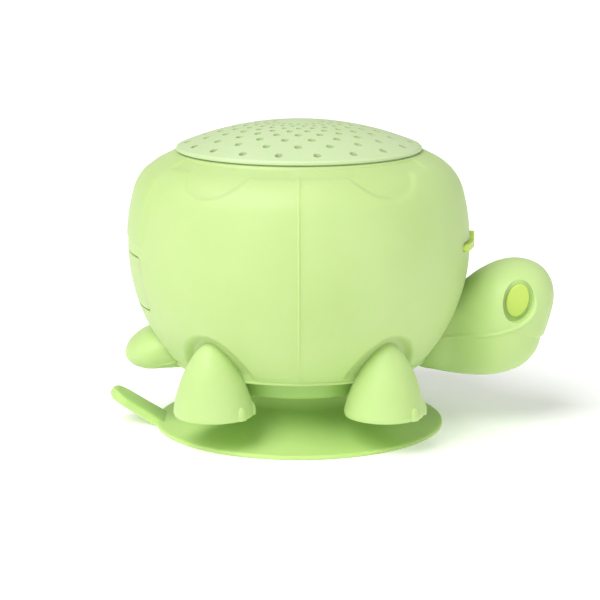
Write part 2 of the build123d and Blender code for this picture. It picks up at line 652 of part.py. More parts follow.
with BuildPart() as driver_frame:
    with BuildSketch(Plane.XZ):
        with BuildLine():
            Polyline(
                (FLANGE_R, FLANGE_TOP), (FLANGE_R, SHELF_TOP), (23.8, SHELF_TOP), (20.6, 53.6),
                (18.6, 53.6), (16.4, PLATE_TOP), (12.4, PLATE_TOP), (12.4, PLATE_TOP + 1.0),
                (15.8, PLATE_TOP + 1.0), (17.8, 54.4), (19.8, 54.4), (22.8, FLANGE_TOP), close=True,
            )
        make_face()
    revolve(axis=Axis.Z)
    with BuildSketch(Plane.XY.offset(55.4)):
        with PolarLocations(21.5, 6, start_angle=60):
            Rectangle(6, 13)
    extrude(amount=5.2, mode=Mode.SUBTRACT)
    with BuildSketch(Plane.XY.offset(SHELF_TOP)):
        with PolarLocations(DRIVER_SCREW_R, 4, start_angle=DRIVER_SCREW_TURN):
            Circle(1.1)
    extrude(amount=FLANGE_TOP - SHELF_TOP, mode=Mode.SUBTRACT)
save(driver_frame, "driver_frame")

ring("driver_top_plate", COIL_R + 0.5, 16.0, MAGNET_TOP, PLATE_TOP)
ring("driver_magnet", 12.0, 17.5, YOKE_TOP, MAGNET_TOP)
turned(
    "driver_yoke",
    (0, YOKE_BOTTOM), (16.6, YOKE_BOTTOM), (17.0, YOKE_BOTTOM + 0.6), (17.0, YOKE_TOP),
    (9.3, YOKE_TOP), (9.3, PLATE_TOP), (0, PLATE_TOP),
)
turned(
    "cone",
    (COIL_R, COIL_Z), (CONE_R - 0.3, FLANGE_TOP - 0.3), (CONE_R, FLANGE_TOP - 0.3),
    (CONE_R, FLANGE_TOP - 0.8), (COIL_R, COIL_Z - 0.6),
)
ring("voice_coil", COIL_R - 0.6, COIL_R - 0.05, 44.4, COIL_Z + 0.6)
cap_r, cap_rise, cap_wall = COIL_R - 0.7, 3.0, 0.4
with BuildPart() as dust_cap:
    with BuildSketch(Plane.XZ):
        with BuildLine():
            outside = (cap_r**2 + cap_rise**2) / (2 * cap_rise)
            inside = ((cap_r - cap_wall) ** 2 + (cap_rise - cap_wall) ** 2) / (2 * (cap_rise - cap_wall))
            cap_low = COIL_Z + 0.6
            RadiusArc((0, cap_low + cap_rise), (cap_r, cap_low), outside)
            Line((cap_r, cap_low), (cap_r - cap_wall, cap_low))
            RadiusArc((cap_r - cap_wall, cap_low), (0, cap_low + cap_rise - cap_wall), -inside)
            Line((0, cap_low + cap_rise - cap_wall), (0, cap_low + cap_rise))
        make_face()
    revolve(axis=Axis.Z)
save(dust_cap, "dust_cap")

with BuildPart() as surround:
    with BuildSketch(Plane.XZ):
        with BuildLine():
            roll_out = ROLL_R + ROLL_WIDTH
            roll_in = ROLL_R - ROLL_WIDTH
            foot = FLANGE_TOP
            Polyline((roll_out + 1.2, foot + 0.4), (roll_out + 1.2, foot), (roll_out - 0.4, foot))
            ThreePointArc((roll_out - 0.4, foot), (ROLL_R, foot + ROLL_WIDTH - 0.4), (roll_in + 0.4, foot))
            Polyline(
                (roll_in + 0.4, foot), (roll_in - 0.9, foot - 0.3),
                (roll_in - 0.9, foot + 0.1), (roll_in, foot + 0.1),
            )
            ThreePointArc((roll_in, foot + 0.1), (ROLL_R, foot + ROLL_WIDTH), (roll_out, foot + 0.4))
            Line((roll_out, foot + 0.4), (roll_out + 1.2, foot + 0.4))
        make_face()
    revolve(axis=Axis.Z)
save(surround, "surround")

turned(
    "spider",
    (COIL_R, 54.9), (12.2, 54.9), (13.4, 54.4), (14.8, 55.0), (16.2, 54.4), (17.4, 54.8), (19.4, 54.8),
    (19.4, 54.4), (17.5, 54.4), (16.2, 54.0), (14.8, 54.6), (13.4, 54.0), (12.1, 54.5), (COIL_R, 54.5),
)
ring("driver_gasket", 24.0, 24.9, FLANGE_TOP + 0.4, FLANGE_TOP + 1.6)
driver_places = [
    (*on_arc((0, 0), DRIVER_SCREW_R, DRIVER_SCREW_TURN + 90 * quarter), FLANGE_TOP + 1.2)
    for quarter in range(4)
]
screws("driver_screws", driver_places, 0.9, 1.6, 1.2, 6.0, up=-1)
with BuildPart() as terminal_strip:
    with Locations((0, 23.65, 57.2)):
        Box(7.0, 1.0, 3.6)
    with Locations((-1.8, 24.35, 57.2), (1.8, 24.35, 57.2)):
        Box(1.8, 0.4, 2.6)
save(terminal_strip, "terminal_strip")

# ---------------------------------------------------------------- electronics
board_top = BOARD_Z + BOARD_THICK
with BuildPart() as main_board:
    with BuildSketch(Plane.XY.offset(BOARD_Z)):
        Circle(BOARD_R)
        with GridLocations(2 * diagonal, 2 * diagonal, 2, 2):
            Circle(BOSS_R + 0.4, mode=Mode.SUBTRACT)
        with GridLocations(2 * PILLAR_X, 2 * PILLAR_Y, 2, 2):
            Circle(1.1, mode=Mode.SUBTRACT)
        with Locations((0, -20.2)):
            RectangleRounded(7.0, 4.0, 1.0, mode=Mode.SUBTRACT)
    extrude(amount=BOARD_THICK)
save(main_board, "main_board")
screws("board_screws", corners(PILLAR_X, PILLAR_Y, board_top + 1.2), 0.9, 1.9, 1.2, 6.0, up=-1)


def chips(label, *blocks):
    """Flat rectangular components on the main board: (x, y, length, width, height) each."""
    with BuildPart() as group:
        for x, y, length, width, height in blocks:
            with Locations((x, y, board_top)):
                Box(length, width, height, align=(Align.CENTER, Align.CENTER, Align.MIN))
    save(group, label)


chips("bluetooth_module", (14, 8, 13, 10, 1.8))
chips("amplifier_chip", (-12, 9, 6, 6, 1.2))
chips("charger_chip", (-22, -6, 3, 3, 1.0))
chips(
    "board_parts",
    (-12, 17, 3.2, 2.5, 2.2), (-6, 15, 2.0, 1.2, 0.9), (-6, 12, 2.0, 1.2, 0.9), (-17, 3, 4.0, 4.0, 3.0),
    (6, 18, 3.2, 1.6, 1.4), (4, 2, 2.0, 1.2, 0.9), (4, -2, 2.0, 1.2, 0.9), (14, -4, 3.2, 2.5, 1.6),
)
chips("speaker_connector", (0, 27, 7.0, 4.0, 3.2))
chips("battery_connector", (0, -27.2, 7.0, 4.0, 3.2))

with BuildPart() as usb_socket:
    with BuildSketch(Plane.YZ.offset(-35.4)):
        with Locations((0, USB_Z)):
            RectangleRounded(8.8, 3.2, 1.5)
    extrude(amount=7.4)
    with BuildSketch(Plane.YZ.offset(-35.4)):
        with Locations((0, USB_Z)):
            RectangleRounded(8.2, 2.6, 1.25)
            Rectangle(6.4, 0.7, mode=Mode.SUBTRACT)
    extrude(amount=6.6, mode=Mode.SUBTRACT)
save(usb_socket, "usb_socket")

with BuildPart() as power_switch:
    with Locations((-29.4, SWITCH_Y, board_top)):
        Box(4.8, 8.0, 3.8, align=(Align.CENTER, Align.CENTER, Align.MIN))
    with Locations((-31.8, SWITCH_Y, SWITCH_Z)):
        Box(2.4, 5.0, 2.2, align=(Align.MIN, Align.CENTER, Align.CENTER), mode=Mode.SUBTRACT)
save(power_switch, "power_switch")

with BuildPart() as power_slider:
    with Locations((-36.8, SWITCH_Y - 1.0, SWITCH_Z)):
        Box(7.2, 2.4, 1.8, align=(Align.MIN, Align.CENTER, Align.CENTER))
    fillet(power_slider.edges().filter_by(Axis.X), 0.3)
save(power_slider, "power_slider")

with BuildPart() as microphone:
    with BuildSketch(Plane.YZ.offset(BUTTON_BOARD_X + BOARD_THICK)):
        with Locations((5.2, KEY_Z - 3.6)):
            RectangleRounded(2.6, 1.8, 0.2)
    extrude(amount=1.0)
save(microphone, "microphone")

with BuildPart() as battery_pad:
    with BuildSketch(Plane.XY.offset(HOUSING_BOTTOM + 2)):
        RectangleRounded(BATTERY[0] - 4, BATTERY[1] - 4, 1.0)
    extrude(amount=BATTERY_Z - HOUSING_BOTTOM - 2)
save(battery_pad, "battery_pad")

with BuildPart() as battery:
    with Locations((0, 0, BATTERY_Z)):
        Box(*BATTERY, align=(Align.CENTER, Align.CENTER, Align.MIN))
    fillet(battery.edges().filter_by(Axis.X), 2.0)
save(battery, "battery")


def wires(label, *routes):
    """Thin insulated wires along their own routes, as separate solids."""
    with BuildPart() as group:
        for route in routes:
            with BuildLine() as line:
                bend_path(route)
            with BuildSketch(Plane(route[0], z_dir=line.line % 0)):
                Circle(WIRE_R)
            sweep(path=line.line)
    save(group, label)


wires("speaker_wires", *[
    (
        (side * 1.8, 27.0, board_top + 3.3), (side * 1.8, 27.6, 43.5), (side * 2.0, 29.2, 49.6),
        (side * 1.9, 28.4, 55.4), (side * 1.8, 24.8, 57.2),
    )
    for side in (-1, 1)
])
wires("battery_wires", *[
    (
        (side * 1.8, -BATTERY[1] / 2 - 0.4, 27.4), (side * 1.8, -19.0, 28.8), (side * 1.8, -20.0, 33.2),
        (side * 1.8, -21.6, 36.4), (side * 1.8, -25.1, 36.6),
    )
    for side in (-1, 1)
])
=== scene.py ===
# %% [markdown]
# # A turtle-shaped shower speaker
# The speaker is a round body in a soft silicone skin, with a domed grille on top, four stubby legs, a head
# with sunken eyes, a tail, and a wide suction cup underneath. The engineering model already holds every
# rigid piece at its size. This lesson remakes the soft pieces, whose shapes flow, and gives every piece
# its own finish.

# %% Load the engineering model
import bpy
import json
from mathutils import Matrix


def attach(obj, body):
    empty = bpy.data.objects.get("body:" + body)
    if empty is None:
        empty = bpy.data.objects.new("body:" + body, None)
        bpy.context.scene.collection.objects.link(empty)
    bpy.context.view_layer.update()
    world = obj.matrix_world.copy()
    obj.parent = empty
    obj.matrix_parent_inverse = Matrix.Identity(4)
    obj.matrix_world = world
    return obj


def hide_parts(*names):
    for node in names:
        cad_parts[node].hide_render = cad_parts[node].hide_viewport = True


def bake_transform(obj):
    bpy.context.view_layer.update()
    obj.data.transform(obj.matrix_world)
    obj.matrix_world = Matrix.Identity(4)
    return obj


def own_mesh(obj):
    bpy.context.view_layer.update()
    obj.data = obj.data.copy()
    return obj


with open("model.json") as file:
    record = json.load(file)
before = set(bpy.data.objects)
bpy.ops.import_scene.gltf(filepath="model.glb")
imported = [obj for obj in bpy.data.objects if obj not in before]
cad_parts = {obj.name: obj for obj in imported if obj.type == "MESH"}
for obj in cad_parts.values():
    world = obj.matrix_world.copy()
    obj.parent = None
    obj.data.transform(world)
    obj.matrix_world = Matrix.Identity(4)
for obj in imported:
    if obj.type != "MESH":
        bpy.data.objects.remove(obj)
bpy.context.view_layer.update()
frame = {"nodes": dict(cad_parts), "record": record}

# %% Units and a few helpers
import json
import math

import bpy
import numpy as np
from mathutils import Matrix, Vector, kdtree

MM = 0.001


def deselect():
    """Operators act on everything selected, so each step starts from nothing."""
    bpy.ops.object.select_all(action="DESELECT")


def pick(piece):
    """Make one object the only selected one, and the active one."""
    deselect()
    piece.select_set(True)
    bpy.context.view_layer.objects.active = piece


def named(name):
    """Name the active object and its mesh, and return it."""
    piece = bpy.context.object
    piece.name = name
    piece.data.name = name
    return piece


def points_of(piece):
    """The piece's vertices in millimetres, as an array."""
    flat = np.empty(len(piece.data.vertices) * 3)
    piece.data.vertices.foreach_get("co", flat)
    return flat.reshape(-1, 3) / MM


def move_points(piece, points):
    """Put the vertices back, from millimetres."""
    piece.data.vertices.foreach_set("co", (points * MM).ravel())
    piece.data.update()


def apply_place(piece):
    """Leave the piece's place in its mesh, with its object at the origin."""
    pick(piece)
    bpy.ops.object.transform_apply(location=True, rotation=True, scale=True)


def modify(piece, kind, **values):
    """Add a modifier, set it, and apply it."""
    pick(piece)
    modifier = piece.modifiers.new(kind.lower(), kind)
    for key, value in values.items():
        setattr(modifier, key, value)
    bpy.ops.object.modifier_apply(modifier=modifier.name)


def smooth(piece, degrees=40):
    """Shade smooth, but keep edges sharper than this angle crisp."""
    pick(piece)
    bpy.ops.object.shade_smooth_by_angle(angle=math.radians(degrees))


def duplicate(piece):
    """A second object of the same shape, with a mesh of its own."""
    twin = piece.copy()
    twin.data = piece.data.copy()
    bpy.context.collection.objects.link(twin)
    return twin


def combine(piece, other, operation):
    """Unite or cut with another piece, which is then deleted."""
    modify(piece, "BOOLEAN", operation=operation, object=other, solver="EXACT")
    bpy.data.objects.remove(other, do_unlink=True)


def soft_step(value, low, high):
    """0 below low, 1 above high, and a smooth ramp between."""
    share = np.clip((value - low) / (high - low), 0, 1)
    return share * share * (3 - 2 * share)


def finish(piece, body, slot, material, *nodes):
    """Give a piece its finish, hang it on the body it rides on, and hide the nodes it stands in for."""
    piece.data.materials.clear()
    piece.data.materials.append(material)
    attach(piece, body)
    if nodes:
        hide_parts(*nodes)
    print(piece.name, len(piece.data.polygons), "faces")


# %% [markdown]
# ## Turning an outline
# The skin and the suction cup are turned shapes. As on a potter's wheel, we draw half of the section and
# spin it about the upright axis. A single vertex is extruded from point to point, so that the outline can
# have as many points as its curves need, and spin then makes the wall.

# %% Draw an outline and spin it
def spun(name, outline, steps):
    """Extrude one vertex along a closed outline of (radius, height) in millimetres, then spin it."""
    bpy.ops.mesh.primitive_plane_add(size=MM)
    bpy.ops.object.mode_set(mode="EDIT")
    bpy.ops.mesh.select_all(action="SELECT")
    bpy.ops.mesh.merge(type="CENTER")
    places = [Vector((radius, 0, height)) * MM for radius, height in outline]
    bpy.ops.transform.translate(value=places[0])
    for here, there in zip(places, places[1:] + places[:1]):
        bpy.ops.mesh.extrude_region_move(TRANSFORM_OT_translate={"value": there - here})
    bpy.ops.mesh.select_all(action="SELECT")
    bpy.ops.mesh.remove_doubles(threshold=0.01 * MM)
    bpy.ops.mesh.select_all(action="SELECT")
    bpy.ops.mesh.spin(steps=steps, angle=2 * math.pi, center=(0, 0, 0), axis=(0, 0, 1))
    bpy.ops.mesh.select_all(action="SELECT")
    bpy.ops.mesh.remove_doubles(threshold=0.01 * MM)
    bpy.ops.mesh.normals_make_consistent(inside=False)
    bpy.ops.object.mode_set(mode="OBJECT")
    return named(name)


def arc(center, radius, start, end, count):
    """Points of an arc, from one angle to another in degrees, both ends included."""
    angles = np.radians(np.linspace(start, end, count))
    return [(center[0] + radius * math.cos(a), center[1] + radius * math.sin(a)) for a in angles]


# %% [markdown]
# ## The skin's outline
# The outline is the engineering model's: a long arc up the flank, a flatter one over the shoulder, a tight
# one at the crown, and a short slope to the grille. The lip under the flank is rounded. The inner wall
# runs back down 2.2 mm inside, coarsely, since it is never seen.

# %% Outline of the skin
WAIST_R, WAIST_Z = 42.7, 46.5
FLANK_R, SHOULDER_R, CROWN_R = 44.0, 52.0, 12.2
SHOULDER_SWEEP, CROWN_SWEEP = 15.0, 48.4
LIP_ANGLE, LIP_Z, LIP_R = 38.6, 17.0, 27.0
SKIN_TOP, MOUTH_R, WALL = 69.7, 30.0, 2.2
FLANK = (WAIST_R - FLANK_R, WAIST_Z)
SHOULDER = (WAIST_R - SHOULDER_R, WAIST_Z)
CROWN = arc(SHOULDER, SHOULDER_R - CROWN_R, SHOULDER_SWEEP, SHOULDER_SWEEP, 1)[0]
CROWN_END = SHOULDER_SWEEP + CROWN_SWEEP


def flank_outline(inset, rows):
    """The body's outline moved inwards by inset, from the lip up to the end of the crown."""
    low = arc(FLANK, FLANK_R - inset, -LIP_ANGLE, 0, rows)
    middle = arc(SHOULDER, SHOULDER_R - inset, 0, SHOULDER_SWEEP, rows // 3)[1:]
    high = arc(CROWN, CROWN_R - inset, SHOULDER_SWEEP, CROWN_END, rows // 3)[1:]
    return low + middle + high


outer = flank_outline(0.0, 84)
inner = flank_outline(WALL, 9)
rise = math.radians(CROWN_END)
mouth_edge = outer[-1][0] - (SKIN_TOP - outer[-1][1]) * math.tan(rise)
skin_outline = (
    [(LIP_R, LIP_Z), (31.3, LIP_Z), (31.75, 17.08), (32.0, 17.3), (32.0, 17.6), (31.85, 17.85)]
    + [(31.95, 18.05), (32.5, 18.55)]
    + outer[1:]
    + [(mouth_edge + 1.4, SKIN_TOP - 0.7), (mouth_edge + 0.3, SKIN_TOP - 0.12)]
    + [(mouth_edge - 0.2, SKIN_TOP)]
    + [(MOUTH_R + 0.1, SKIN_TOP), (MOUTH_R, SKIN_TOP - 0.15), (MOUTH_R, SKIN_TOP - WALL)]
    + inner[::-1][1:]
    + [(LIP_R, inner[0][1])]
)
COLUMNS = 400
body_skin = spun("soft_body_skin", skin_outline, COLUMNS)
print("skin turned from", len(skin_outline), "points")

# %% [markdown]
# ## Legs
# Each leg is a stubby dome, flat underneath, that leans outwards as it rises and melts into the flank.
# One leg is turned, leaned by moving its points sideways in proportion to their height, given three
# toenails that face the head, and copied to the four corners.

# %% Turn one leg and add its toenails
FOOT_X, FOOT_Y, FOOT_Z = 20.6, 27.0, 8.6
KNEE_Z, LEAN_X, LEAN_Y = 27.3, 0.5, 2.4
BASE_CLEARANCE_R = 26.3
LEG_SIDE = (
    (9.5, 8.95), (9.75, 9.8), (9.6, 11.0), (9.15, 13.0), (8.55, 15.0), (7.9, 17.0), (7.1, 19.0),
    (6.15, 21.0), (5.0, 23.0), (3.75, 24.8), (2.3, 26.2), (1.1, 27.0), (0.02, 27.3),
)
side_heights = [z for r, z in LEG_SIDE]
side_radii = [r for r, z in LEG_SIDE]
shares = np.linspace(0, 1, 40)
steps = np.linspace(0, 1, len(LEG_SIDE))
leg_outline = [(0.02, FOOT_Z), (7.9, FOOT_Z), (8.8, FOOT_Z + 0.1)]
leg_outline += list(zip(np.interp(shares, steps, side_radii), np.interp(shares, steps, side_heights)))
leg = spun("leg", leg_outline, 80)
NAIL_ANGLES, NAIL_REACH, NAIL_SIZE = (-42, 0, 42), 9.3, (0.95, 1.5, 2.5)
for turn in NAIL_ANGLES:
    facing = math.radians(turn)
    spot = Vector((NAIL_REACH * math.cos(facing), NAIL_REACH * math.sin(facing), FOOT_Z + 1.2)) * MM
    bpy.ops.mesh.primitive_uv_sphere_add(
        segments=32, ring_count=20, radius=MM, location=spot, rotation=(0, 0, facing)
    )
    nail = named("nail")
    nail.scale = NAIL_SIZE
    apply_place(nail)
    pick(nail)
    bpy.ops.object.mode_set(mode="EDIT")
    bpy.ops.mesh.select_all(action="SELECT")
    bpy.ops.mesh.bisect(
        plane_co=(0, 0, (FOOT_Z + 0.4) * MM), plane_no=(0, 0, 1), clear_inner=True, use_fill=True
    )
    bpy.ops.object.mode_set(mode="OBJECT")
    combine(leg, nail, "UNION")
print("leg with nails", len(leg.data.polygons), "faces")

# %% Lean the leg and copy it to the four corners
leg_points = points_of(leg)
lean = (leg_points[:, 2] - FOOT_Z) / (KNEE_Z - FOOT_Z)
legs, leg_surface = [], []
for side_x in (-1, 1):
    for side_y in (-1, 1):
        copy = duplicate(leg)
        placed = leg_points.copy()
        placed[:, 0] += side_x * (FOOT_X + LEAN_X * lean)
        placed[:, 1] = side_y * (placed[:, 1] + FOOT_Y + LEAN_Y * lean)
        move_points(copy, placed)
        if side_y < 0:
            copy.data.flip_normals()
        legs.append(copy)
        leg_surface.append(placed)
bpy.data.objects.remove(leg, do_unlink=True)
pick(legs[0])
for extra in legs[1:]:
    extra.select_set(True)
bpy.ops.object.join()
legs = named("legs")
leg_surface = np.concatenate(leg_surface)
print(len(leg_surface), "points on the legs")

# %% [markdown]
# ## Relief on the skin
# The real skin isn't a plain turned bowl. A shallow collar is pressed in round the grille, with scallops
# like a shell's plates. A soft groove hugs the top of each leg, a panel stands a little proud at the back,
# and a fine mould line runs down both sides. These are about a millimetre deep, so instead of cutting them
# we move the vertices of the outer wall in or out along the body's radius, with smooth steps. The groove
# needs each point's distance to the nearest leg, which a k-d tree finds quickly. The mould line is narrower
# than the wall's columns, so the columns beside it are first drawn together.

# %% Move the outer wall in and out
COLLAR_DEPTH, COLLAR_EDGE = 0.75, 0.55
GROOVE_DEPTH, GROOVE_FLOOR, GROOVE_EDGE = 1.55, 2.1, 3.4
SEAM_RISE, SEAM_COLUMNS = 0.34, (0.0, 0.30, 0.52, 2.0, 3.1, 4.1, 5.0)
COLLAR_SPAN, GROOVE_TOP = 62, 36
PANEL_RISE, PANEL_SIDES, PANEL_FOOT, PANEL_HEAD = 0.35, (27.0, 28.6), (48.7, 49.3), (64.8, 66.0)


def collar_floor(angle):
    """Height of the collar's scalloped lower edge, at an angle in degrees from the nearer side."""
    return np.minimum(67.4, 62.3 + 0.022 * (angle - 34.5) ** 2)


points = points_of(body_skin)
radius = np.hypot(points[:, 0], points[:, 1])
height = points[:, 2]
outer_r = np.interp(height, [z for r, z in outer], [r for r, z in outer])
outside = (radius > outer_r - 0.6) | (height > outer[-1][1])
outside &= (height > LIP_Z + 1.0) & (height < SKIN_TOP - 0.4)

column = 360.0 / COLUMNS
side_turn = np.degrees(np.arctan2(points[:, 0], np.abs(points[:, 1])))
drawn = np.interp(np.abs(side_turn) / column, range(len(SEAM_COLUMNS)), SEAM_COLUMNS) * column
near_seam = np.abs(side_turn) < (len(SEAM_COLUMNS) - 1.5) * column
turn = np.radians(np.where(near_seam, np.sign(side_turn) * drawn, side_turn))
points[:, 0] = radius * np.sin(turn)
points[:, 1] = radius * np.cos(turn) * np.where(points[:, 1] < 0, -1, 1)

side_angle = np.degrees(np.abs(turn))
collar = soft_step(height - collar_floor(side_angle), -COLLAR_EDGE / 2, COLLAR_EDGE / 2)
collar[side_angle > COLLAR_SPAN] = 0.0
tree = kdtree.KDTree(len(leg_surface))
for index, place in enumerate(leg_surface):
    tree.insert(place, index)
tree.balance()
low_outside = outside & (height < GROOVE_TOP)
gap = np.array([tree.find(place)[2] if near else 99.0 for place, near in zip(points, low_outside)])
within = np.zeros(len(points), dtype=bool)
for side_x in (-1, 1):
    for side_y in (-1, 1):
        rise = (height - FOOT_Z) / (KNEE_Z - FOOT_Z)
        from_axis = np.hypot(
            points[:, 0] - side_x * (FOOT_X + LEAN_X * rise),
            points[:, 1] - side_y * (FOOT_Y + LEAN_Y * rise),
        )
        within |= (from_axis < np.interp(height, side_heights, side_radii)) & (height < KNEE_Z)
gap[within] = 0.0
groove = 1 - soft_step(gap, GROOVE_FLOOR, GROOVE_EDGE)
groove *= soft_step(height, 17.5, 20.0)
seam = np.interp(np.abs(points[:, 0]), (0.0, 0.12, 0.38), (1.0, 0.9, 0.0)) * (1 - 0.6 * collar)
behind = np.degrees(np.arctan2(np.abs(points[:, 1]), -points[:, 0]))
panel = (1 - soft_step(behind, *PANEL_SIDES)) * soft_step(height, *PANEL_FOOT)
panel *= 1 - soft_step(height, *PANEL_HEAD)
push = PANEL_RISE * panel + SEAM_RISE * seam - COLLAR_DEPTH * collar - GROOVE_DEPTH * groove
scale = 1 + np.where(outside, push, 0.0) / np.maximum(radius, 1.0)
points[:, 0] *= scale
points[:, 1] *= scale
move_points(body_skin, points)
moved = push[outside]
print("relief on", len(moved), "points, from", moved.min().round(2), "to", moved.max().round(2))

# %% Join the legs to the skin
bpy.ops.mesh.primitive_cylinder_add(
    vertices=96, radius=BASE_CLEARANCE_R * MM, depth=12 * MM, location=(0, 0, 11 * MM)
)
clearance = named("clearance")
apply_place(clearance)
combine(legs, clearance, "DIFFERENCE")
combine(body_skin, legs, "UNION")
print("skin with legs", len(body_skin.data.polygons), "faces")

# %% [markdown]
# ## Windows in the skin
# The keys' symbols stand up through close-fitting windows, and the port flap lies in a window at the back
# with a slit all round it. The cutters are primitives with rounded corners, and one boolean difference
# takes them all out. Cutters for the plus sign's two bars cross, so they are united first.

# %% Cutters for the key symbols and the flap
KEY_Z, KEY_PITCH, KEY_GAP = 47.4, 10.3, 0.25
KEY_X, KEY_DEEP = 42, 12  # where the keys' cutters stand, and how far they reach through
MINUS_LENGTH, PLUS_LENGTH, BAR_HALF, PLAY_R = 8.6, 7.2, 0.8, 2.75
PORT_Z, PORT_HALF_W, PORT_HALF_H = 39.0, 17.9, 6.8


def bar_cutter(x, y, z, deep, wide, tall, corner):
    """A block along X with its four long edges rounded."""
    bpy.ops.mesh.primitive_cube_add(size=MM, location=Vector((x, y, z)) * MM)
    block = named("cutter")
    block.scale = (deep, wide, tall)
    apply_place(block)
    pick(block)
    bpy.ops.object.mode_set(mode="EDIT")
    bpy.ops.mesh.select_all(action="DESELECT")
    bpy.ops.object.mode_set(mode="OBJECT")
    for edge in block.data.edges:
        ends = [block.data.vertices[v].co for v in edge.vertices]
        edge.select = abs(ends[0].x - ends[1].x) > 0.5 * deep * MM
    bpy.ops.object.mode_set(mode="EDIT")
    bpy.ops.mesh.bevel(offset=corner * MM, segments=6, profile=0.5)
    bpy.ops.object.mode_set(mode="OBJECT")
    return block


bar_half = BAR_HALF + KEY_GAP
corner = bar_half * 0.96
minus_wide, plus_wide = MINUS_LENGTH + 2 * KEY_GAP, PLUS_LENGTH + 2 * KEY_GAP
minus = bar_cutter(KEY_X, -KEY_PITCH, KEY_Z, KEY_DEEP, minus_wide, 2 * bar_half, corner)
plus = bar_cutter(KEY_X, KEY_PITCH, KEY_Z, KEY_DEEP, plus_wide, 2 * bar_half, corner)
upright = bar_cutter(KEY_X, KEY_PITCH, KEY_Z, KEY_DEEP, 2 * bar_half, plus_wide, corner)
combine(plus, upright, "UNION")
bpy.ops.mesh.primitive_cylinder_add(
    vertices=3, radius=(PLAY_R + 2 * KEY_GAP) * MM, depth=KEY_DEEP * MM,
    location=Vector((KEY_X, 0, KEY_Z)) * MM, rotation=(0, math.radians(90), 0),
)
play = named("cutter")
apply_place(play)
print("play cutter", [round(value / MM, 1) for value in play.data.vertices[0].co])
flap_window = bar_cutter(-42, 0, PORT_Z, 24, 2 * PORT_HALF_W, 2 * PORT_HALF_H, 1.0)
pick(minus)
for cutter in (plus, play, flap_window):
    cutter.select_set(True)
bpy.ops.object.join()
combine(body_skin, named("cutters"), "DIFFERENCE")
smooth(body_skin, 32)
print("skin with windows", len(body_skin.data.polygons), "faces")

# %% [markdown]
# ## Head and tail
# Head and tail are mouldings of their own, pushed on to the body. For each, a cube is subdivided and blown
# up into a ball, which has no pinched poles. Seen from the side, each direction from the ball's centre is
# then stretched to the piece's outline, and the ball's width to the piece's. A squareness a little over 2
# makes the sections fuller than an ellipse. Each piece has a mould line, a thin ridge on both sides.

# %% Two helpers for stretched balls
def smooth_line(x, places, values):
    """A smooth curve through the places and values, in cubic pieces."""
    slopes = np.gradient(values, places)
    index = np.clip(np.searchsorted(places, x) - 1, 0, len(places) - 2)
    width = places[index + 1] - places[index]
    t = (x - places[index]) / width
    start = (2 * t**3 - 3 * t**2 + 1) * values[index] + (t**3 - 2 * t**2 + t) * width * slopes[index]
    end = (3 * t**2 - 2 * t**3) * values[index + 1] + (t**3 - t**2) * width * slopes[index + 1]
    return start + end


def stretched_ball(name, outline, centre, half_w, square, cuts):
    """A ball stretched to an outline of (x, height) in the plane y = 0, half_w wide to either side."""
    bpy.ops.mesh.primitive_cube_add(size=2 * MM)
    piece = named(name)
    pick(piece)
    bpy.ops.object.mode_set(mode="EDIT")
    bpy.ops.mesh.select_all(action="SELECT")
    bpy.ops.mesh.subdivide(number_cuts=cuts)
    bpy.ops.object.mode_set(mode="OBJECT")
    ball = np.tan(points_of(piece) * math.pi / 4)
    ball /= np.linalg.norm(ball, axis=1, keepdims=True)
    side = np.array(outline) - centre
    turns = np.degrees(np.arctan2(side[:, 1], side[:, 0]))
    order = np.argsort(turns)
    around = np.concatenate([turns[order] - 360, turns[order], turns[order] + 360])
    lengths = np.tile(np.hypot(*side[order].T), 3)
    reach = smooth_line(np.degrees(np.arctan2(ball[:, 2], ball[:, 0])), around, lengths)
    flat = np.maximum(np.hypot(ball[:, 0], ball[:, 2]), 1e-6)
    reach *= flat ** (2 / square) / flat
    across = half_w * np.sign(ball[:, 1]) * np.abs(ball[:, 1]) ** (2 / square)
    placed = [centre[0] + reach * ball[:, 0], across, centre[1] + reach * ball[:, 2]]
    move_points(piece, np.stack(placed, axis=1))
    return piece


def raise_ridge(piece, route, rise, half_w, ends):
    """Raise, or sink, a thin line on both sides of a piece; ends are its strengths at its two ends."""
    share = np.linspace(0, 1, 300)
    stops = np.linspace(0, 1, len(route))
    route_x = np.interp(share, stops, [x for x, z in route])
    route_z = np.interp(share, stops, [z for x, z in route])
    strength = np.interp(share, (0, 0.25, 0.75, 1), (ends[0], 1, 1, ends[1]))
    points = points_of(piece)
    away = np.hypot(points[:, :1] - route_x, points[:, 2:] - route_z)
    ridge = rise * strength[away.argmin(axis=1)] * np.exp(-((away.min(axis=1) / half_w) ** 2))
    points[:, 1] += ridge * np.sign(points[:, 1]) * (np.abs(points[:, 1]) > 3)
    move_points(piece, points)


# %% Stretch the head, with a narrow neck
HEAD_OUTLINE = (  # from under the neck, round by the chin and the nose, to the top and back
    (29.3, 15.3), (34.7, 13.7), (41.2, 12.7), (48.2, 12.8), (53.4, 14.0), (55.9, 15.1), (57.8, 16.6),
    (59.9, 19.3), (60.9, 22.2), (61.1, 23.0), (61.8, 23.4), (62.0, 24.0), (62.9, 26.9), (63.6, 29.5),
    (64.1, 33.0), (63.3, 37.2), (61.3, 39.9), (58.9, 41.3), (54.9, 42.1), (51.2, 41.6), (47.8, 40.3),
    (44.7, 38.6), (41.8, 36.5), (37.0, 33.5), (31.5, 30.0), (29.0, 24.0),
)
HEAD_RIDGE = (
    (30.0, 22.4), (34.1, 23.0), (40.0, 23.9), (46.6, 25.0), (50.5, 26.0), (54.7, 27.3), (57.2, 29.2),
    (58.4, 30.8), (58.9, 32.7), (58.6, 35.5),
)
HEAD_CENTRE, HEAD_HALF_W, HEAD_SQUARE = (48.0, 27.3), 12.9, 2.4
NECK_FROM, NECK_LENGTH, NECK_TAKE_IN = 50.0, 13.0, 0.40
head_cuts = 120
